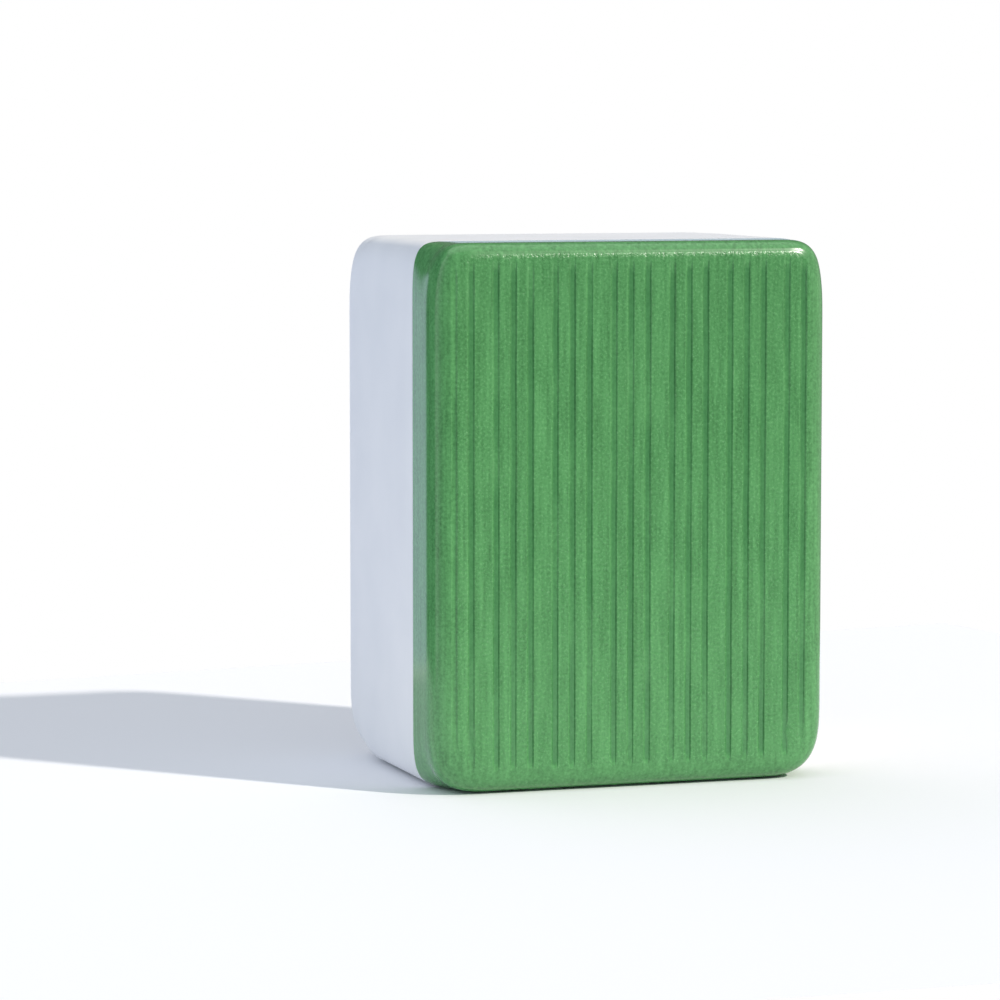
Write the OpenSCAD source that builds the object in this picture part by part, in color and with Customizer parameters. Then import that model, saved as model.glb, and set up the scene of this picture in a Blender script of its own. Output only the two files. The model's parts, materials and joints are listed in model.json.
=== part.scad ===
// Mahjong tile: a green ribbed back block keyed and bonded to a white face block,
// with enamel fills in the engraved circles of the playing face.
// The tile stands on its short end, with its back towards -Y and its face towards +Y.

/* [Tile] */
// Width, across the ribs of the back
tile_w = 29; // [26:0.1:40]
// Height, from the end that it stands on to the other end
tile_h = 38; // [34:0.1:54]
// Thickness, from the back to the playing face
tile_t = 22; // [14:0.1:32]
// Thickness of the green back block
back_t = 5; // [3.5:0.1:9]
// Radius of the four corners, seen from the face
corner_r = 2.6; // [2.2:0.1:4.5]
// Radius of the edges round the back and round the face
edge_r = 1.6; // [0.8:0.1:2.7]

/* [Ribs] */
// Width of a groove at the surface of the back
groove_w = 0.55; // [0.2:0.05:0.8]
// Width of a groove at its floor
groove_floor_w = 0.42; // [0.1:0.02:0.5]
// Depth of a groove
groove_d = 0.15; // [0.05:0.01:0.5]
// Grooves in each group
grooves_per_group = 3; // [1:1:4]
// Spacing of the grooves in a group
groove_pitch = 1.24; // [0.9:0.01:1.6]
// Spacing of the groups
group_pitch = 4.27; // [3.6:0.01:7]
// How far the pattern's middle lies from the middle of the back
group_offset = -0.24; // [-2:0.01:2]

/* [Key between the blocks] */
// Distance from the tile's sides and ends to the key
key_margin = 5; // [3.5:0.1:8]
// How far the key reaches into the face block
key_d = 1.2; // [0.5:0.1:4]
// Radius of the key's corners
key_r = 2; // [0.5:0.1:4]

/* [Circles on the face] */
// Diameter of a circle, outside its ring
circle_d = 9.2; // [7:0.1:10.2]
// Width of the ring
ring_w = 0.8; // [0.4:0.1:1.2]
// Diameter of the core
core_d = 2.8; // [1.5:0.1:3.4]
// Beads between the ring and the core
bead_count = 8; // [4:1:10]
// Diameter of a bead
bead_d = 1; // [0.5:0.1:1.2]
// Distance from the tile's sides to the circles
side_margin = 3.4; // [2.8:0.1:4.5]
// Distance from the tile's ends to the circles
end_margin = 3.9; // [2.8:0.1:5]
// Depth of the engraving
engrave_d = 0.5; // [0.3:0.05:1]
// How far the paint lies below the face
paint_drop = 0.15; // [0:0.05:0.25]

/* [Hidden] */
$fn = 96;
// How far a cut runs past the surface that it opens
overrun = 1;
// A rolled edge is never rounder than the corner that it runs round
roll_r = min(edge_r, corner_r);
face_t = tile_t - back_t;
seam_y = back_t - tile_t / 2;
mid_z = tile_h / 2;
paint_t = engrave_d - paint_drop;

// Grooves are cut as far out as the flat of the back, and one groove's width onto the rolled edge
groove_reach = tile_w / 2 - roll_r + groove_w;
group_count = floor(tile_w / group_pitch / 2) + 1;

// The beads lie midway between the core and the ring
ring_inner_d = circle_d - 2 * ring_w;
bead_orbit_r = (core_d / 2 + ring_inner_d / 2) / 2;

// Centres of the outer circles, counted from the middle of the face
column_x = tile_w / 2 - side_margin - circle_d / 2;
row_z = tile_h / 2 - end_margin - circle_d / 2;

// Left and right as seen looking at the face: name, column and row of each circle
CIRCLES = [
    ["upper_left", 1, 1],
    ["upper_right", -1, 1],
    ["centre", 0, 0],
    ["lower_left", 1, -1],
    ["lower_right", -1, -1],
];
GREEN_RESIN = [0.34, 0.62, 0.36];
WHITE_RESIN = [0.93, 0.94, 0.96];
RED_PAINT = [0.72, 0.1, 0.12];
BLUE_PAINT = [0.08, 0.22, 0.5];
GREEN_PAINT = [0.05, 0.4, 0.22];

function is_middle(circle) = circle[1] == 0;
function fill_name(circle, fill) = str(circle[0], "_", fill);

FILLS = ["ring", "beads", "core"];

// Rectangle with round corners, about its middle
module rounded_rect(w, h, r) {
    square([w - 2 * r, h], center = true);
    square([w, h - 2 * r], center = true);
    for (x = [-1, 1], y = [-1, 1])
        translate([x * (w / 2 - r), y * (h / 2 - r)])
            circle(r);
}

// Section of the rolled edge
module edge_section() {
    intersection() {
        circle(roll_r);
        square(roll_r);
    }
}

// Section of the rolled edge and of the flat inside it, out from a corner's axis
module corner_section() {
    if (corner_r > roll_r)
        square([corner_r - roll_r, roll_r]);
    translate([corner_r - roll_r, 0])
        edge_section();
}

// The last layer of a block, which rolls over from its sides to its flat top
module rolled_cap() {
    straight_w = tile_w - 2 * corner_r;
    straight_h = tile_h - 2 * corner_r;
    translate([-straight_w / 2, roll_r - tile_h / 2, 0])
        cube([straight_w, tile_h - 2 * roll_r, roll_r]);
    translate([roll_r - tile_w / 2, -straight_h / 2, 0])
        cube([tile_w - 2 * roll_r, straight_h, roll_r]);
    for (flip = [0, 1]) {
        mirror([0, flip, 0])
            translate([-straight_w / 2, tile_h / 2 - roll_r, 0])
                rotate([90, 0, 90])
                    linear_extrude(straight_w)
                        edge_section();
        mirror([flip, 0, 0])
            translate([tile_w / 2 - roll_r, straight_h / 2, 0])
                rotate([90, 0, 0])
                    linear_extrude(straight_h)
                        edge_section();
        for (turn = [0, 1])
            mirror([flip, 0, 0])
                mirror([0, turn, 0])
                    translate([straight_w / 2, straight_h / 2, 0])
                        rotate_extrude(angle = 90)
                            corner_section();
    }
}

// Block that stands on its flat seam, at z = 0, and ends in the rolled cap
module rolled_block(thickness) {
    linear_extrude(thickness - roll_r)
        rounded_rect(tile_w, tile_h, corner_r);
    translate([0, 0, thickness - roll_r])
        rolled_cap();
}

// The key on the back block, which is also the recess in the face block
module seam_key() {
    linear_extrude(key_d)
        rounded_rect(tile_w - 2 * key_margin, tile_h - 2 * key_margin, key_r);
}

// Puts a shape that is drawn flat on the seam, with z towards the face
module on_seam() {
    translate([0, seam_y, mid_z])
        rotate([-90, 0, 0])
            children();
}

// Puts a shape that is drawn flat on the floor of the engraving, at one circle's place
module on_engraving(circle) {
    translate([circle[1] * column_x, tile_t / 2 - engrave_d, mid_z + circle[2] * row_z])
        rotate([-90, 0, 0])
            children();
}

// One groove of the back, a tapered channel along the tile's height
module groove() {
    linear_extrude(tile_h)
        polygon([
            [-groove_w / 2, -overrun],
            [groove_w / 2, -overrun],
            [groove_w / 2, 0],
            [groove_floor_w / 2, groove_d],
            [-groove_floor_w / 2, groove_d],
            [-groove_w / 2, 0],
        ]);
}

module grooves() {
    for (group = [-group_count : group_count], place = [0 : grooves_per_group - 1]) {
        in_group = (place - (grooves_per_group - 1) / 2) * groove_pitch;
        x = group_offset + group * group_pitch + in_group;
        if (abs(x) < groove_reach)
            translate([x, -tile_t / 2, 0])
                groove();
    }
}

// Outline of one fill of a circle
module fill_shape(fill) {
    if (fill == "ring")
        difference() {
            circle(d = circle_d);
            circle(d = ring_inner_d);
        }
    if (fill == "beads")
        for (i = [0 : bead_count - 1])
            rotate(i * 360 / bead_count)
                translate([bead_orbit_r, 0])
                    circle(d = bead_d);
    if (fill == "core")
        circle(d = core_d);
}

module back_block() {
    color(GREEN_RESIN)
        difference() {
            on_seam() {
                mirror([0, 0, 1])
                    rolled_block(back_t);
                seam_key();
            }
            grooves();
        }
}

module face_block() {
    color(WHITE_RESIN)
        difference() {
            on_seam()
                difference() {
                    rolled_block(face_t);
                    seam_key();
                }
            for (circle = CIRCLES, fill = FILLS)
                on_engraving(circle)
                    linear_extrude(engrave_d + overrun)
                        fill_shape(fill);
        }
}

module paint_fill(circle, fill) {
    outer = is_middle(circle) ? RED_PAINT : BLUE_PAINT;
    inner = is_middle(circle) ? BLUE_PAINT : RED_PAINT;
    color(fill == "ring" ? outer : fill == "core" ? inner : GREEN_PAINT)
        on_engraving(circle)
            linear_extrude(paint_t)
                fill_shape(fill);
}

back_block();
face_block();
for (circle = CIRCLES, fill = FILLS)
    paint_fill(circle, fill);
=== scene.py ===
"""Mahjong tile: ribbed green back, white body and painted face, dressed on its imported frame."""
import json
import math

import bmesh
import bpy
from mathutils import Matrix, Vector, noise

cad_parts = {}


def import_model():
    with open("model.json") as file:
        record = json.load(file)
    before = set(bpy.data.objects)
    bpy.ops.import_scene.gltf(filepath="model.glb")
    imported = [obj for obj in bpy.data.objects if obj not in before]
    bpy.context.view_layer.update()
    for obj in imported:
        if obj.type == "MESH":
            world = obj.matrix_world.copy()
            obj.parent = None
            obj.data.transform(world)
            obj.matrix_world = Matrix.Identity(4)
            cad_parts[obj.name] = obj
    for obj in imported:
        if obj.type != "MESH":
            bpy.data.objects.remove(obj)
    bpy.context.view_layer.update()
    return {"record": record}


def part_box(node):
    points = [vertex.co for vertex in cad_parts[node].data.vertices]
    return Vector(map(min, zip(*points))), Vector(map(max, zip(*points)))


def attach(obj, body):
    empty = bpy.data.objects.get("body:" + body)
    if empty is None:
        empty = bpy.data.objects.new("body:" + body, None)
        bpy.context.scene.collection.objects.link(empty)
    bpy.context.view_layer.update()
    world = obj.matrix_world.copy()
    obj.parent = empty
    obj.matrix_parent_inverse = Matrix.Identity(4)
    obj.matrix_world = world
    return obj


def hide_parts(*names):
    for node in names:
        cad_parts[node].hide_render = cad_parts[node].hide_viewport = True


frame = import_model()

MM = 0.001

# Sizes of the blocks, from the frame
back_low, back_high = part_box("back_block")
face_low, face_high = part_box("face_block")
HALF_W = back_high[0]
HALF_H = back_high[2] / 2
BACK_Y = back_low[1]
FACE_Y = face_high[1]
SEAM_Y = face_low[1]
KEY_TOP_Y = back_high[1]
BACK_T = SEAM_Y - BACK_Y
FACE_T = FACE_Y - SEAM_Y

# Corners of the blocks: they reach further along the sides than along the ends, and are squarer
# at the seam
TOP_CORNER_X = 3.2 * MM
FOOT_CORNER_X = 4.85 * MM
CORNER_Z = 5.9 * MM
FACE_CORNER_POWER = 3.35
SEAM_CORNER_POWER = 5.3

# Rolled edges of the two faces: tighter along the top than along the sides, and wider along the foot
EDGE_R = 2.4 * MM
TOP_EDGE_R = 1.65 * MM
FOOT_EDGE_R = 2.85 * MM
EDGE_BLEND = 3 * MM
EDGE_POWER = 3.2
SEAM_BEVEL = 0.06 * MM
ROLL_STEPS = 12
GROOVED_ROLL_STEPS = 36
KEY_MARGIN = 5 * MM
KEY_R = 2 * MM
KEY_CORNER_STEPS = 8

# Longest steps of the skins
WALL_STEP = 1 * MM
BACK_ROW_STEP = 0.6 * MM
FACE_STEP = 1 * MM
RIB_STEP = 0.3 * MM
GROOVE_STEP = 0.03 * MM

# Grooves of the back: the wall on the -X side is the gentler one
GROOVE_FLOOR_HALF_W = 0.15 * MM
GROOVE_LEFT_WALL = 0.15 * MM
GROOVE_RIGHT_WALL = 0.08 * MM
GROOVE_D = 0.09 * MM
GROOVE_PITCH = 1.24 * MM
GROUP_PITCH = 4.27 * MM
GROUP_OFFSET = -0.24 * MM
GROOVES_PER_GROUP = 3
GROOVE_MARGIN = 1.4 * MM
GROOVE_REACH = HALF_W - GROOVE_MARGIN
GROOVE_END = 0.6 * MM
GROOVE_FULL_DEPTH = 2.4 * MM
GROOVE_SOFTNESS = 0.012 * MM
FILLET_REACH = 2.5 * GROOVE_SOFTNESS
GROOVE_WANDER = 0.015 * MM
WANDER_LENGTH = 6 * MM
GROOVE_DEPTH_CHANGE_SHARE = 0.35
DEPTH_CHANGE_LENGTH = 4 * MM

# Seeds: the noise's step from groove to groove, and its layer
WANDER_SEED_STEP, WANDER_LAYER = 7.3, 0.5
DEPTH_SEED_STEP, DEPTH_LAYER = 3.1, 8.5

# Circles of the face
RING_W = 0.8 * MM
BEAD_R = 0.5 * MM
BEAD_COUNT = 8
ENGRAVED_EDGE = 0.05 * MM
MENISCUS = 0.06 * MM
MENISCUS_POWER = 4
PAINT_UNEVENNESS = 0.012 * MM
PAINT_RIPPLE = 0.7 * MM
CIRCLE_STEPS = 96
BEAD_STEPS = 24
RING_PAINT_STEPS = 8
DISC_PAINT_STEPS = 6

# Edges that turn by less are shaded smooth
SMOOTH_ANGLE = math.radians(35)


def even_steps(start, end, longest):
    """Places from start to end, both included, no further apart than longest."""
    count = max(1, math.ceil((end - start) / longest - 1e-9))
    return [start + (end - start) * i / count for i in range(count + 1)]


def roll_places(steps):
    """Places over the outer half of a rolled edge, from its flat side to its corner, even in angle."""
    half_turn = math.radians(45)
    return [EDGE_R * math.tan(half_turn * (i + 1) / steps) for i in range(steps)]


def with_rolls(flat_places, steps=ROLL_STEPS):
    """Adds the rolled edges to the places across a flat that runs from -flat to +flat."""
    flat = flat_places[-1]
    roll = [flat + place for place in roll_places(steps)]
    return [-place for place in reversed(roll)] + flat_places + roll


def smooth_step(value, low, high):
    """Rises from 0 at low to 1 at high, level at both ends."""
    share = max(0, min(1, (value - low) / (high - low)))
    return share * share * (3 - 2 * share)


def power_length(a, b, power):
    """Distance whose circle is squarer the higher the power is."""
    return (abs(a) ** power + abs(b) ** power) ** (1 / power)


def roll_radius(x, z):
    """Radius of the rolled edge that is nearest to a place on the sharp block."""
    end_r = TOP_EDGE_R if z > 0 else FOOT_EDGE_R
    nearer_end = (HALF_W - abs(x)) - (HALF_H - abs(z))
    return EDGE_R + (end_r - EDGE_R) * smooth_step(nearer_end, -EDGE_BLEND, EDGE_BLEND)


def corner_power(depth):
    """How square the corners are at a depth below the rolled face."""
    change = SEAM_CORNER_POWER - FACE_CORNER_POWER
    return FACE_CORNER_POWER + change * smooth_step(depth, EDGE_R, BACK_T)


def round_corner(x, z, inset, power):
    """Moves a place near the sharp outline onto the rounded outline that lies inset from the sides."""
    reach_x = TOP_CORNER_X if z > 0 else FOOT_CORNER_X
    if inset >= reach_x:
        return x, z
    core_x = max(min(x, HALF_W - reach_x), reach_x - HALF_W)
    core_z = max(min(z, HALF_H - CORNER_Z), CORNER_Z - HALF_H)
    length = power_length((x - core_x) / (reach_x - inset), (z - core_z) / (CORNER_Z - inset), power)
    if length == 0:
        return x, z
    return core_x + (x - core_x) / length, core_z + (z - core_z) / length


def rolled_point(x, depth, z):
    """Moves a point of the sharp block onto the rounded one. Depth is counted from the rolled face."""
    radius = roll_radius(x, z)
    inset = min(HALF_W - abs(x), HALF_H - abs(z))
    out = max(radius - inset, 0)
    rise = max(radius - depth, 0)
    length = power_length(out, rise, EDGE_POWER)
    if out > 0 and length > 0:
        inset = radius - out * radius / length
        if rise > 0:
            depth = radius - rise * radius / length
    x, z = round_corner(x, z, inset, corner_power(depth))
    return x, depth, z


def soft_max(a, b, softness):
    """The larger of two values, with a fillet where they cross."""
    near = max(softness - abs(a - b), 0) / softness
    return max(a, b) + near * near * softness / 4


def groove_middles():
    """Places of the grooves across the back, from -X to +X."""
    middles = []
    groups = math.ceil(HALF_W / GROUP_PITCH)
    for group in range(-groups, groups + 1):
        for place in range(GROOVES_PER_GROUP):
            x = GROUP_OFFSET + group * GROUP_PITCH + (place - (GROOVES_PER_GROUP - 1) / 2) * GROOVE_PITCH
            if abs(x) < GROOVE_REACH:
                middles.append(x)
    return middles


GROOVES = groove_middles()


def groove_depth(x, z):
    """Depth of the cutter at a place on the back. It is negative between the grooves."""
    number = min(range(len(GROOVES)), key=lambda i: abs(x - GROOVES[i]))
    wander = GROOVE_WANDER * noise.noise((number * WANDER_SEED_STEP, z / WANDER_LENGTH, WANDER_LAYER))
    from_middle = x - GROOVES[number] - wander
    change = noise.noise((number * DEPTH_SEED_STEP, z / DEPTH_CHANGE_LENGTH, DEPTH_LAYER))
    deep = GROOVE_D * (1 + GROOVE_DEPTH_CHANGE_SHARE * change)
    deep *= smooth_step(HALF_H - abs(z), GROOVE_END, GROOVE_FULL_DEPTH)
    wall = GROOVE_LEFT_WALL if from_middle < 0 else GROOVE_RIGHT_WALL
    slope = deep * (1 - (abs(from_middle) - GROOVE_FLOOR_HALF_W) / wall)
    cut = deep - soft_max(0, deep - slope, GROOVE_SOFTNESS)
    return max(cut, -GROOVE_SOFTNESS)


def plain(x, depth, z):
    """A point of the rolled block, none of which is sunk."""
    return rolled_point(x, depth, z), 0.0


def carved(x, depth, z):
    """A point of the rolled block, let down into the grooves, and how far, as a share of their depth."""
    x, surface, z = rolled_point(x, depth, z)
    depth = soft_max(surface, groove_depth(x, z), GROOVE_SOFTNESS)
    return (x, depth, z), (depth - surface) / GROOVE_D


def groove_columns():
    """Places across the flat of the back, close together at the grooves and further apart between."""
    flat = HALF_W - EDGE_R
    margin = GROOVE_FLOOR_HALF_W + GROOVE_LEFT_WALL + FILLET_REACH
    places = [-flat]
    for x in GROOVES:
        start, end = max(x - margin, -flat), min(x + margin, flat)
        if start > places[-1]:
            places += even_steps(places[-1], start, RIB_STEP)[1:]
        if end > places[-1]:
            places += even_steps(places[-1], end, GROOVE_STEP)[1:]
    if places[-1] < flat:
        places += even_steps(places[-1], flat, RIB_STEP)[1:]
    return places


class Block:
    """Skin of a block between its flat seam and its rolled face."""

    def __init__(self, xs, zs, thickness, shape, to_world):
        self.bm = bmesh.new()
        self.sunk = self.bm.verts.layers.float.new("sunk")
        self.xs, self.zs = xs, zs
        wall_end = thickness - SEAM_BEVEL
        self.depths = [EDGE_R - place for place in reversed(roll_places(ROLL_STEPS))]
        self.depths += even_steps(EDGE_R, wall_end, WALL_STEP)
        self.thickness = thickness
        self.shape, self.to_world = shape, to_world
        self.verts = {}
        self.last = (len(xs) - 1, len(self.depths) - 1, len(zs) - 1)

    def vert(self, i, j, k):
        key = (i, j, k)
        if key not in self.verts:
            place, sunk = self.shape(self.xs[i], self.depths[j], self.zs[k])
            self.verts[key] = self.point(*place)
            self.verts[key][self.sunk] = sunk
        return self.verts[key]

    def point(self, x, depth, z):
        return self.bm.verts.new(self.to_world(x, depth, z))

    def quad(self, a, b, c, d):
        self.bm.faces.new([self.vert(*a), self.vert(*b), self.vert(*c), self.vert(*d)])

    def walls(self):
        last_i, last_j, last_k = self.last
        for j in range(last_j):
            for i in range(last_i):
                for k in (0, last_k):
                    self.quad((i, j, k), (i + 1, j, k), (i + 1, j + 1, k), (i, j + 1, k))
            for k in range(last_k):
                for i in (0, last_i):
                    self.quad((i, j, k), (i, j, k + 1), (i, j + 1, k + 1), (i, j + 1, k))

    def rolled_face(self, flat_too):
        last_i, _, last_k = self.last
        roll = ROLL_STEPS
        for i in range(last_i):
            for k in range(last_k):
                inside = roll <= i < last_i - roll and roll <= k < last_k - roll
                if flat_too or not inside:
                    self.quad((i, 0, k), (i + 1, 0, k), (i + 1, 0, k + 1), (i, 0, k + 1))

    def rim(self, margin):
        """Index pairs round the block, margin steps inside its outline."""
        last_i, _, last_k = self.last
        low, high_i, high_k = margin, last_i - margin, last_k - margin
        ring = [(i, low) for i in range(low, high_i)]
        ring += [(high_i, k) for k in range(low, high_k)]
        ring += [(i, high_k) for i in range(high_i, low, -1)]
        ring += [(low, k) for k in range(high_k, low, -1)]
        return ring

    def seam(self):
        """Bevelled edge at the seam, the flat that is bonded, and the key or its recess."""
        last_j = self.last[1]
        rim = self.rim(0)
        wall_end = [self.vert(i, last_j, k) for i, k in rim]
        inset = []
        for i, k in rim:
            x = max(min(self.xs[i], HALF_W - SEAM_BEVEL), SEAM_BEVEL - HALF_W)
            z = max(min(self.zs[k], HALF_H - SEAM_BEVEL), SEAM_BEVEL - HALF_H)
            x, z = round_corner(x, z, SEAM_BEVEL, SEAM_CORNER_POWER)
            inset.append(self.point(x, self.thickness, z))
        self.bridge(wall_end, inset)
        key_foot = [self.bm.verts.new((x, SEAM_Y, HALF_H + z)) for x, z in key_outline()]
        key_top = [self.bm.verts.new((x, KEY_TOP_Y, HALF_H + z)) for x, z in key_outline()]
        self.fill([inset, key_foot])
        self.bridge(key_foot, key_top)
        self.bm.faces.new(key_top)

    def bridge(self, ring_a, ring_b):
        for n in range(len(ring_a)):
            m = (n + 1) % len(ring_a)
            self.bm.faces.new([ring_a[n], ring_a[m], ring_b[m], ring_b[n]])

    def fill(self, rings):
        """Flat face between rings, of which the first is the outline and the others are holes."""
        edges = []
        for ring in rings:
            for n in range(len(ring)):
                pair = (ring[n], ring[(n + 1) % len(ring)])
                edges.append(self.bm.edges.get(pair) or self.bm.edges.new(pair))
        bmesh.ops.triangle_fill(self.bm, use_beauty=True, use_dissolve=False, edges=edges)

    def ring(self, centre, radius, depth, steps):
        """Circle of new points on the face."""
        angles = [2 * math.pi / steps * n for n in range(steps)]
        x, z = centre
        return [self.point(x + radius * math.cos(a), depth, z + radius * math.sin(a)) for a in angles]

    def finished(self, name, material):
        return finished_piece(self.bm, name, material)


def key_outline():
    """Outline of the key between the blocks."""
    points = []
    for sign_x, sign_z, first in ((1, 1, 0), (-1, 1, 90), (-1, -1, 180), (1, -1, 270)):
        for step in range(KEY_CORNER_STEPS + 1):
            angle = math.radians(first + 90 * step / KEY_CORNER_STEPS)
            x = sign_x * (HALF_W - KEY_MARGIN - KEY_R) + KEY_R * math.cos(angle)
            z = sign_z * (HALF_H - KEY_MARGIN - KEY_R) + KEY_R * math.sin(angle)
            points.append((x, z))
    return points


def finished_piece(bm, name, material):
    """Turns a closed skin into a piece with smooth curves and crisp edges."""
    bmesh.ops.recalc_face_normals(bm, faces=bm.faces)
    for face in bm.faces:
        face.smooth = True
    for edge in bm.edges:
        edge.smooth = edge.calc_face_angle(0) < SMOOTH_ANGLE
    mesh = bpy.data.meshes.new(name)
    bm.to_mesh(mesh)
    bm.free()
    mesh.materials.append(material)
    piece = bpy.data.objects.new(name, mesh)
    bpy.context.collection.objects.link(piece)
    return piece


def stand_for(piece, node):
    """The piece takes the place of a node of the frame."""
    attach(piece, "root")
    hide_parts(node)


# Materials

class Nodes:
    """Short way to write a node tree."""

    def __init__(self, tree):
        self.tree = tree

    def add(self, kind, values=None, links=None, **settings):
        """New node with its settings, and with constants and links in its sockets."""
        node = self.tree.nodes.new(kind)
        for key, value in settings.items():
            setattr(node, key, value)
        for key, value in (values or {}).items():
            node.inputs[key].default_value = value
        for key, socket in (links or {}).items():
            self.tree.links.new(socket, node.inputs[key])
        return node

    def feed(self, value, socket):
        """Puts a number, a colour or the output of another node into a socket."""
        if isinstance(value, (int, float)):
            socket.default_value = value
        elif isinstance(value, tuple):
            socket.default_value = (*value, 1)
        else:
            self.tree.links.new(value, socket)

    def ramp(self, value, stops):
        """Colours along a value. Each stop is a position and a grey or a colour."""
        node = self.add("ShaderNodeValToRGB", links={"Fac": value})
        elements = node.color_ramp.elements
        while len(elements) < len(stops):
            elements.new(0.5)
        in_order = sorted(stops, key=lambda stop: stop[0])
        for element, (position, colour) in zip(elements, in_order):
            element.position = position
            element.color = (*colour, 1) if isinstance(colour, tuple) else (colour, colour, colour, 1)
        return node.outputs["Color"]

    def map(self, value, low, high, to_low, to_high):
        """A value carried from one range to another, without running past its ends."""
        return self.add(
            "ShaderNodeMapRange",
            {"From Min": low, "From Max": high, "To Min": to_low, "To Max": to_high},
            {"Value": value},
        ).outputs["Result"]

    def math(self, operation, a, b):
        """Arithmetic on sockets and numbers."""
        node = self.add("ShaderNodeMath", operation=operation)
        self.feed(a, node.inputs[0])
        self.feed(b, node.inputs[1])
        return node.outputs[0]

    def mix(self, share, a, b, blend="MIX"):
        """Two colours put together, by the share of the second and a kind of blending."""
        node = self.add("ShaderNodeMix", data_type="RGBA", blend_type=blend)
        colours = [socket for socket in node.inputs if socket.type == "RGBA"]
        self.feed(share, node.inputs["Factor"])
        self.feed(a, colours[0])
        self.feed(b, colours[1])
        return next(socket for socket in node.outputs if socket.type == "RGBA")


class Material(Nodes):
    """Node tree of a new material."""

    def __init__(self, name):
        self.material = bpy.data.materials.new(name)
        self.material.use_nodes = True
        super().__init__(self.material.node_tree)
        self.shader = self.tree.nodes["Principled BSDF"]

    def set(self, **values):
        """Feeds the shader's sockets, named with underscores for spaces."""
        for name, value in values.items():
            self.feed(value, self.shader.inputs[name.replace("_", " ")])

    def place(self):
        return self.add("ShaderNodeTexCoord").outputs["Object"]

    def stretched(self, place, factors):
        """Place multiplied by a factor along each axis. A small factor draws a pattern out."""
        node = self.add("ShaderNodeVectorMath", {1: factors}, {0: place}, operation="MULTIPLY")
        return node.outputs["Vector"]

    def noise(self, place, grain, detail=2.0, roughness=0.5):
        """Noise whose blots are about one grain wide."""
        return self.add(
            "ShaderNodeTexNoise",
            {"Scale": 1 / grain, "Detail": detail, "Roughness": roughness},
            {"Vector": place},
        ).outputs["Fac"]

    def bump(self, height, distance):
        """Fine relief. Distance is how high a height of 1 stands."""
        node = self.add("ShaderNodeBump", {"Distance": distance, "Strength": 1}, {"Height": height})
        self.set(Normal=node.outputs["Normal"])


# Noise lies mostly between these values
NOISE_LOW = 0.3
NOISE_MIDDLE = 0.5
NOISE_HIGH = 0.7
RESIN_IOR = 1.55

# Green resin: its tones and how strongly they show
GREEN_DARK = (0.037, 0.158, 0.044)
GREEN_MIDDLE = (0.080, 0.280, 0.089)
GREEN_LIGHT = (0.132, 0.405, 0.138)
SPECK_COLOUR = (0.22, 0.46, 0.23)
# Painted shade in the grooves: darker greens for their sunk floors and walls
GROOVE_SHADE_DARK = (0.036, 0.168, 0.050)
GROOVE_SHADE_LIGHT = (0.062, 0.234, 0.082)
GRAIN_SHARE = 0.6
MOTTLE_SHARE = 0.25
SPECK_SHARE = 0.3
GROOVE_SHADE_SHARE = 0.66

# The sizes of its marks, the noise at which specks set in, and the share of a groove's depth at which
# the painted shade of the grooves does
GRAIN = 0.2 * MM
GRAIN_BUMP = 0.07 * MM
BRUSH_MARK = 0.3 * MM
BRUSH_STRETCH = (1, 1, 0.05)
MOTTLE = 2.4 * MM
SPECK = 0.13 * MM
SPECK_STRETCH = (1, 1, 0.6)
SPECK_START, SPECK_FULL = 0.79, 0.87
SUNK_START, SUNK_FULL = 0.6, 1.0

# Its finish, by depth below the back: blasted, then smooth, satin, then polished
BLASTED_DEPTH = 0.02 * MM
SMOOTH_DEPTH = 0.1 * MM
SATIN_DEPTH = 0.15 * MM
POLISHED_DEPTH = 0.4 * MM
SATIN_ROUGHNESS = 0.24
POLISHED_ROUGHNESS = 0.14
ROUGHNESS_SPREAD = 0.06


def green_colour(n, place, grain, tone):
    """Speckled and clouded green, with painted shade where the surface is sunk into the grooves."""
    tones = ((NOISE_LOW, GREEN_DARK), (NOISE_MIDDLE, GREEN_MIDDLE), (NOISE_HIGH, GREEN_LIGHT))
    speckled = n.ramp(tone, tones)
    mottle = n.noise(place, MOTTLE)
    clouded = n.mix(n.map(mottle, NOISE_LOW, NOISE_HIGH, 0, MOTTLE_SHARE), speckled, GREEN_LIGHT)
    specks = n.noise(n.stretched(place, SPECK_STRETCH), SPECK, detail=0)
    dusted = n.mix(n.map(specks, SPECK_START, SPECK_FULL, 0, SPECK_SHARE), clouded, SPECK_COLOUR)
    sunk = n.add("ShaderNodeAttribute", attribute_name="sunk").outputs["Fac"]
    # Painted shade: the grooves are darkened by how deep the surface is sunk
    groove_shade = n.map(sunk, SUNK_START, SUNK_FULL, 0, GROOVE_SHADE_SHARE)
    return n.mix(groove_shade, dusted, n.mix(grain, GROOVE_SHADE_DARK, GROOVE_SHADE_LIGHT))


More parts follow.
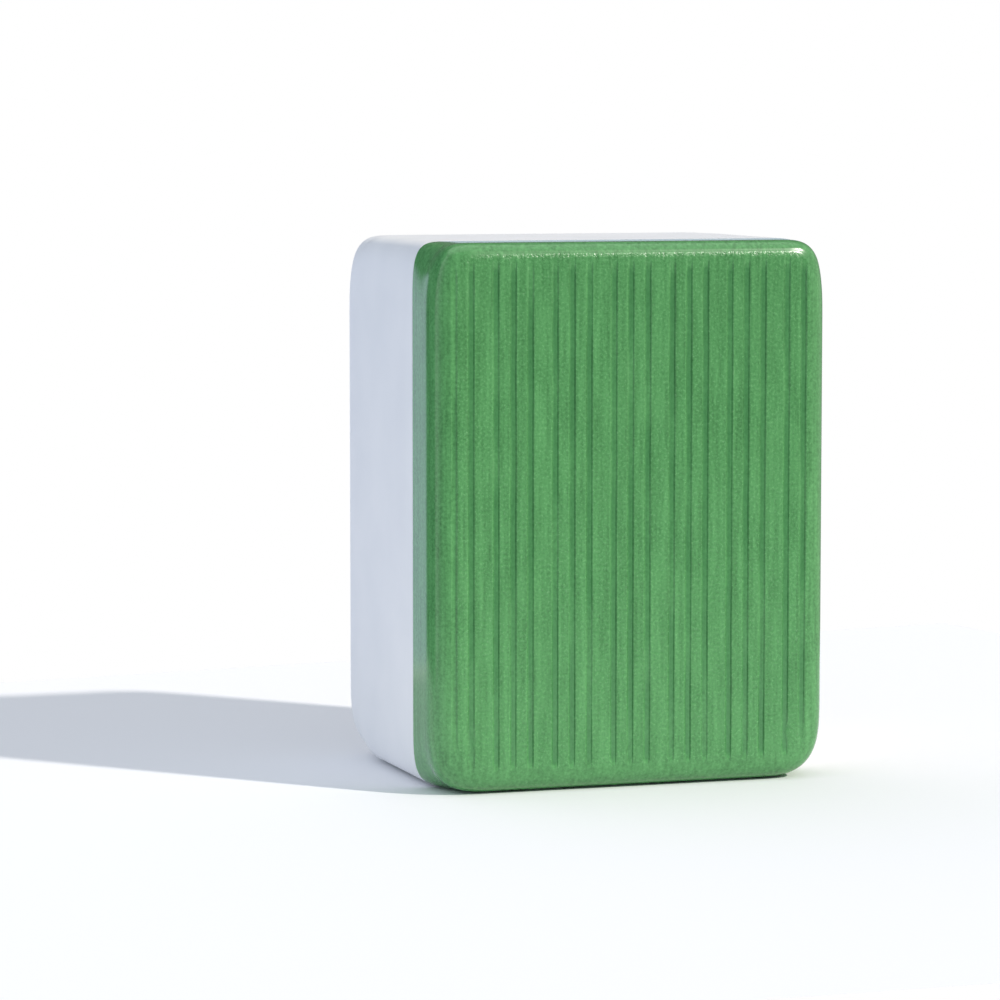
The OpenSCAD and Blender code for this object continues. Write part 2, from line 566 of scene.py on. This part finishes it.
def green_resin():
    """Speckled and brushed on the ribbed back, with painted shade in its grooves, polished round the
    edges and on the sides.
    """
    n = Material("green_resin")
    place = n.place()
    grain = n.noise(place, GRAIN, detail=3, roughness=0.65)
    brushed = n.noise(n.stretched(place, BRUSH_STRETCH), BRUSH_MARK, detail=3)
    grain_part = n.math("MULTIPLY", grain, GRAIN_SHARE)
    brushed_part = n.math("MULTIPLY", brushed, 1 - GRAIN_SHARE)
    tone = n.math("ADD", grain_part, brushed_part)
    depth = n.add("ShaderNodeSeparateXYZ", links={"Vector": place}).outputs["Y"]
    blasted = n.map(depth, BACK_Y + BLASTED_DEPTH, BACK_Y + SMOOTH_DEPTH, 1, 0)
    satin_y, polished_y = BACK_Y + SATIN_DEPTH, BACK_Y + POLISHED_DEPTH
    satin = n.map(depth, satin_y, polished_y, SATIN_ROUGHNESS, POLISHED_ROUGHNESS)
    spread = n.map(grain, NOISE_LOW, NOISE_HIGH, -ROUGHNESS_SPREAD, ROUGHNESS_SPREAD)
    n.set(
        Base_Color=green_colour(n, place, grain, tone),
        Roughness=n.math("ADD", satin, n.math("MULTIPLY", spread, blasted)),
        IOR=RESIN_IOR,
    )
    n.bump(n.math("MULTIPLY", tone, blasted), GRAIN_BUMP)
    return n.material


WHITE_DARK = (0.87, 0.875, 0.885)
WHITE_LIGHT = (0.91, 0.91, 0.915)
WHITE_ROUGHNESS_LOW, WHITE_ROUGHNESS_HIGH = 0.38, 0.46
WHITE_SPECULAR = 0.2
WHITE_CLOUD = 5 * MM
WHITE_GRAIN = 0.5 * MM
WHITE_RIPPLE = 1.6 * MM
WHITE_BUMP = 0.003 * MM


def white_resin():
    """Faintly clouded white with a soft sheen."""
    n = Material("white_resin")
    place = n.place()
    cloud = n.noise(place, WHITE_CLOUD)
    grain = n.noise(place, WHITE_GRAIN)
    n.set(
        Base_Color=n.ramp(cloud, ((NOISE_LOW, WHITE_DARK), (NOISE_HIGH, WHITE_LIGHT))),
        Roughness=n.map(grain, NOISE_LOW, NOISE_HIGH, WHITE_ROUGHNESS_LOW, WHITE_ROUGHNESS_HIGH),
        IOR=RESIN_IOR,
        Specular_IOR_Level=WHITE_SPECULAR,
    )
    n.bump(n.noise(place, WHITE_RIPPLE, detail=1), WHITE_BUMP)
    return n.material


PAINT_BRUSH_MARK = 0.9 * MM
PAINT_BRIGHT_AT = 0.72
PAINT_BUMP = 0.006 * MM
PAINT_GRAIN = 0.4 * MM
PAINT_ROUGHNESS_LOW, PAINT_ROUGHNESS_HIGH = 0.22, 0.38


def paint(name, deep, bright):
    """Brushed enamel between two tones."""
    n = Material(name)
    place = n.place()
    brushed = n.noise(place, PAINT_BRUSH_MARK, detail=3)
    grain = n.noise(place, PAINT_GRAIN)
    n.set(
        Base_Color=n.ramp(brushed, ((NOISE_LOW, deep), (PAINT_BRIGHT_AT, bright))),
        Roughness=n.map(grain, NOISE_LOW, NOISE_HIGH, PAINT_ROUGHNESS_LOW, PAINT_ROUGHNESS_HIGH),
    )
    n.bump(brushed, PAINT_BUMP)
    return n.material


PAINTS = {
    "red_paint": paint("red_paint", (0.36, 0.010, 0.014), (0.52, 0.020, 0.022)),
    "blue_paint": paint("blue_paint", (0.008, 0.035, 0.18), (0.014, 0.065, 0.29)),
    "green_paint": paint("green_paint", (0.008, 0.11, 0.040), (0.016, 0.19, 0.065)),
}


# Blocks

def back_block():
    """Green block with the ribbed back."""
    rows = even_steps(EDGE_R - HALF_H, HALF_H - EDGE_R, BACK_ROW_STEP)
    block = Block(
        with_rolls(groove_columns(), GROOVED_ROLL_STEPS), with_rolls(rows), BACK_T, carved,
        lambda x, depth, z: (x, BACK_Y + depth, HALF_H + z),
    )
    block.walls()
    block.rolled_face(flat_too=True)
    block.seam()
    piece = block.finished("ribbed_back", green_resin())
    stand_for(piece, "back_block")


# Engraved circles of the face: the frame's rings, beads and cores give their places and sizes

CIRCLES = ("upper_left", "upper_right", "centre", "lower_left", "lower_right")


def circle_sizes(circle):
    """Middle, radii, floor and paint level of one circle, as the frame has them."""
    ring_low, ring_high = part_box(circle + "_ring")
    core_low, core_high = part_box(circle + "_core")
    bead_low, bead_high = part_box(circle + "_beads")
    middle = ((ring_low[0] + ring_high[0]) / 2, (ring_low[2] + ring_high[2]) / 2 - HALF_H)
    return {
        "middle": middle,
        "ring_r": (ring_high[0] - ring_low[0]) / 2,
        "core_r": (core_high[0] - core_low[0]) / 2,
        "beads_r": (bead_high[0] - bead_low[0]) / 2,
        "floor": FACE_Y - ring_low[1],
        "paint": FACE_Y - ring_high[1],
    }


def bead_middles(sizes):
    """Middles of the beads round one circle."""
    orbit = sizes["beads_r"] - BEAD_R
    turn = 2 * math.pi / BEAD_COUNT
    x, z = sizes["middle"]
    return [(x + orbit * math.cos(n * turn), z + orbit * math.sin(n * turn)) for n in range(BEAD_COUNT)]


def engrave_disc(block, middle, radius, floor, steps):
    """Round recess with a soft edge. Returns the ring where it opens on the face."""
    mouth = block.ring(middle, radius + ENGRAVED_EDGE, 0, steps)
    lip = block.ring(middle, radius, ENGRAVED_EDGE, steps)
    foot = block.ring(middle, radius, floor, steps)
    block.bridge(mouth, lip)
    block.bridge(lip, foot)
    block.bm.faces.new(foot)
    return mouth


def engrave_circle(block, sizes):
    """One circle of the face. Returns the ring where it opens on the face."""
    middle, floor = sizes["middle"], sizes["floor"]
    outer, inner = sizes["ring_r"], sizes["ring_r"] - RING_W
    rings = [
        block.ring(middle, outer + ENGRAVED_EDGE, 0, CIRCLE_STEPS),
        block.ring(middle, outer, ENGRAVED_EDGE, CIRCLE_STEPS),
        block.ring(middle, outer, floor, CIRCLE_STEPS),
        block.ring(middle, inner, floor, CIRCLE_STEPS),
        block.ring(middle, inner, ENGRAVED_EDGE, CIRCLE_STEPS),
        block.ring(middle, inner - ENGRAVED_EDGE, 0, CIRCLE_STEPS),
    ]
    for first, second in zip(rings, rings[1:]):
        block.bridge(first, second)
    holes = [engrave_disc(block, bead, BEAD_R, floor, BEAD_STEPS) for bead in bead_middles(sizes)]
    holes.append(engrave_disc(block, middle, sizes["core_r"], floor, CIRCLE_STEPS))
    block.fill([rings[-1]] + holes)
    return rings[0]


def face_block():
    """White block with the engraved face."""
    columns = even_steps(EDGE_R - HALF_W, HALF_W - EDGE_R, FACE_STEP)
    rows = even_steps(EDGE_R - HALF_H, HALF_H - EDGE_R, FACE_STEP)
    block = Block(
        with_rolls(columns), with_rolls(rows), FACE_T, plain,
        lambda x, depth, z: (x, FACE_Y - depth, HALF_H + z),
    )
    block.walls()
    block.rolled_face(flat_too=False)
    flat_edge = [block.vert(i, 0, k) for i, k in block.rim(ROLL_STEPS)]
    mouths = [engrave_circle(block, circle_sizes(circle)) for circle in CIRCLES]
    block.fill([flat_edge] + mouths)
    block.seam()
    piece = block.finished("engraved_body", white_resin())
    stand_for(piece, "face_block")


# Paint in the engraving

def paint_point(middle, radius, angle, depth):
    """Point round the middle of a recess, at a depth below the face."""
    x = middle[0] + radius * math.cos(angle)
    z = middle[1] + radius * math.sin(angle)
    return Vector((x, FACE_Y - depth, HALF_H + z))


def paint_level(across, point, level):
    """Depth of the paint, which climbs the walls of its recess and is a little uneven."""
    ripple = PAINT_UNEVENNESS * noise.noise(point / PAINT_RIPPLE)
    return level - MENISCUS * across ** MENISCUS_POWER + ripple


def paint_ring(bm, sizes):
    """Paint in the ring of a circle."""
    outer, inner = sizes["ring_r"], sizes["ring_r"] - RING_W
    loops = []
    for n in range(CIRCLE_STEPS):
        angle = 2 * math.pi * n / CIRCLE_STEPS
        loop = []
        for step in range(RING_PAINT_STEPS + 1):
            share = step / RING_PAINT_STEPS
            radius = inner + (outer - inner) * share
            flat = paint_point(sizes["middle"], radius, angle, sizes["paint"])
            depth = paint_level(2 * share - 1, flat, sizes["paint"])
            loop.append(bm.verts.new(paint_point(sizes["middle"], radius, angle, depth)))
        loop.append(bm.verts.new(paint_point(sizes["middle"], outer, angle, sizes["floor"])))
        loop.append(bm.verts.new(paint_point(sizes["middle"], inner, angle, sizes["floor"])))
        loops.append(loop)
    for n in range(CIRCLE_STEPS):
        first, second = loops[n], loops[(n + 1) % CIRCLE_STEPS]
        for step in range(len(first)):
            after = (step + 1) % len(first)
            bm.faces.new([first[step], first[after], second[after], second[step]])


def paint_disc(bm, middle, radius, sizes, steps):
    """Paint in a bead or a core."""
    angles = [2 * math.pi * n / steps for n in range(steps)]
    rings = []
    for ring in range(1, DISC_PAINT_STEPS + 1):
        share = ring / DISC_PAINT_STEPS
        points = []
        for angle in angles:
            flat = paint_point(middle, radius * share, angle, sizes["paint"])
            depth = paint_level(share, flat, sizes["paint"])
            points.append(bm.verts.new(paint_point(middle, radius * share, angle, depth)))
        rings.append(points)
    foot = [bm.verts.new(paint_point(middle, radius, angle, sizes["floor"])) for angle in angles]
    rings.append(foot)
    for first, second in zip(rings, rings[1:]):
        for n in range(steps):
            m = (n + 1) % steps
            bm.faces.new([first[n], first[m], second[m], second[n]])
    flat = paint_point(middle, 0, 0, sizes["paint"])
    top = bm.verts.new(paint_point(middle, 0, 0, paint_level(0, flat, sizes["paint"])))
    for n in range(steps):
        bm.faces.new([rings[0][n], rings[0][(n + 1) % steps], top])
    bm.faces.new(foot)


def paint_fills():
    """Paint of all circles, in a piece of its own for each node."""
    slots = {row["node"]: row["material_slot"] for row in frame["record"]["subparts"]}
    for circle in CIRCLES:
        sizes = circle_sizes(circle)
        for fill in ("ring", "beads", "core"):
            node = f"{circle}_{fill}"
            bm = bmesh.new()
            if fill == "ring":
                paint_ring(bm, sizes)
            if fill == "beads":
                for middle in bead_middles(sizes):
                    paint_disc(bm, middle, BEAD_R, sizes, BEAD_STEPS)
            if fill == "core":
                paint_disc(bm, sizes["middle"], sizes["core_r"], sizes, CIRCLE_STEPS // 2)
            piece = finished_piece(bm, node + "_paint", PAINTS[slots[node]])
            stand_for(piece, node)


# Stage, light and camera

# Outline of the floor in millimetres: it ends near the tile, so that the polish mirrors what lies beyond
FLOOR_OUTLINE = ((-75, -79), (75, -79), (75, -20), (60, 70), (-51, 54), (-70, 15))
FLOOR_COLOUR = (0.925, 0.925, 0.94)

# Cool fill from the left, fainter and warmer from the right, and some from above
FILL_LEFT = (0.595, 0.683, 0.83)
FILL_RIGHT = (0.215, 0.205, 0.175)
FILL_ABOVE = 0.29

# Lamp in front of the back, on its right and above
KEY_COLOUR = (1.05, 1.0, 0.93)
KEY_AZIMUTH = math.radians(42.4)
KEY_ELEVATION = math.radians(36)
KEY_STRENGTH = 2.36
KEY_ANGLE = math.radians(2.5)

# What the gloss mirrors: greys all round and a backdrop, by degrees from -Y towards -X, and by the height
# of the direction a light overhead and the backdrop's upper edge
SURROUND = (
    (-180, 0.1), (-140, 0.2), (-98, 0.8), (-60, 0.8), (-35, 0.15), (30, 0.12), (44, 0.2), (58, 0.4),
    (72, 0.8), (83, 1.1), (93, 1.1), (101, 0.05), (150, 0.05), (170, 0.1),
)
OVERHEAD = ((0.72, 0.0), (0.86, 1.25), (1.0, 1.25))
BACKDROP = (0.74, 0.80, 1.04)
BACKDROP_SPAN = ((154, 0), (159, BACKDROP), (204, BACKDROP), (212, 0))
BACKDROP_TOP = ((0.07, 1.0), (0.11, 0.0))

# Camera, fitted to the tile's outline in the photo
VIEW_YAW = math.radians(18.19)
VIEW_PITCH = math.radians(5.224)
VIEW_DISTANCE = 287.25 * MM
VIEW_AIM = Vector((-9.774 * MM, BACK_Y, 20.443 * MM))
LENS_MM = 151.2
SENSOR_MM = 36


def floor():
    """Plain pale floor, which takes the shadow."""
    mesh = bpy.data.meshes.new("floor")
    corners = [(x * MM, y * MM, 0) for x, y in FLOOR_OUTLINE]
    mesh.from_pydata(corners, [], [range(len(corners))])
    n = Material("floor")
    n.set(Base_Color=FLOOR_COLOUR, Roughness=1, Specular_IOR_Level=0)
    mesh.materials.append(n.material)
    plane = bpy.data.objects.new("floor", mesh)
    bpy.context.collection.objects.link(plane)


def turned(stops):
    """Stops by degrees from -Y towards -X, as places on a radial gradient of the direction."""
    return [((0.25 - degrees / 360) % 1, colour) for degrees, colour in stops]


def studio_gloss(n, direction, height):
    """What only the gloss shows: a dark room, pale at both sides, a low backdrop and a light overhead."""
    gradient = n.add("ShaderNodeTexGradient", links={"Vector": direction}, gradient_type="RADIAL")
    radial = gradient.outputs["Fac"]
    around = n.ramp(radial, turned(SURROUND))
    above = n.ramp(height, OVERHEAD)
    backdrop = n.mix(1, n.ramp(radial, turned(BACKDROP_SPAN)), n.ramp(height, BACKDROP_TOP), "MULTIPLY")
    return n.mix(1, n.mix(1, around, above, "LIGHTEN"), backdrop, "LIGHTEN")


def fill_light(n, rightward, height):
    """Fill from left and right, and some from above."""
    from_sides = n.ramp(n.map(rightward, -1, 1, 0, 1), ((0, FILL_LEFT), (1, FILL_RIGHT)))
    from_above = n.ramp(height, ((0, 0), (1, FILL_ABOVE)))
    return n.mix(1, from_sides, from_above, "ADD")


def background(n, colour):
    """Shader that shows a colour or the output of another node."""
    node = n.add("ShaderNodeBackground")
    n.feed(colour, node.inputs["Color"])
    return node.outputs[0]


def world():
    """Fill light and a studio in the gloss, on a background that shows as plain white."""
    studio = bpy.data.worlds.new("studio")
    bpy.context.scene.world = studio
    studio.use_nodes = True
    studio.node_tree.nodes.remove(studio.node_tree.nodes["Background"])
    n = Nodes(studio.node_tree)
    direction = n.add("ShaderNodeTexCoord").outputs["Generated"]
    parts = n.add("ShaderNodeSeparateXYZ", links={"Vector": direction}).outputs
    shown = background(n, fill_light(n, parts["X"], parts["Z"]))
    gloss = background(n, studio_gloss(n, direction, parts["Z"]))
    white = background(n, (1, 1, 1))
    path = n.add("ShaderNodeLightPath").outputs
    for ray, seen in (("Is Glossy Ray", gloss), ("Is Camera Ray", white), ("Is Transmission Ray", white)):
        shown = n.add("ShaderNodeMixShader", links={"Fac": path[ray], 1: shown, 2: seen}).outputs[0]
    n.feed(shown, n.tree.nodes["World Output"].inputs["Surface"])


def key_light():
    lamp = bpy.data.lights.new("key", "SUN")
    lamp.energy = KEY_STRENGTH
    lamp.color = KEY_COLOUR
    lamp.angle = KEY_ANGLE
    key = bpy.data.objects.new("key", lamp)
    key.rotation_euler = (math.pi / 2 - KEY_ELEVATION, 0, KEY_AZIMUTH)
    bpy.context.collection.objects.link(key)


def camera():
    """Eye at the photo's angle, on the -X side of the back."""
    lens = bpy.data.cameras.new("camera")
    lens.sensor_width = SENSOR_MM
    lens.lens = LENS_MM
    eye = bpy.data.objects.new("camera", lens)
    along = Vector((
        math.cos(VIEW_PITCH) * math.sin(VIEW_YAW),
        math.cos(VIEW_PITCH) * math.cos(VIEW_YAW),
        -math.sin(VIEW_PITCH),
    ))
    eye.location = VIEW_AIM - VIEW_DISTANCE * along
    eye.rotation_euler = (math.pi / 2 - VIEW_PITCH, 0, -VIEW_YAW)
    bpy.context.collection.objects.link(eye)
    bpy.context.scene.camera = eye


back_block()
face_block()
paint_fills()
floor()
world()
key_light()
camera()
bpy.context.scene.view_settings.view_transform = "Standard"
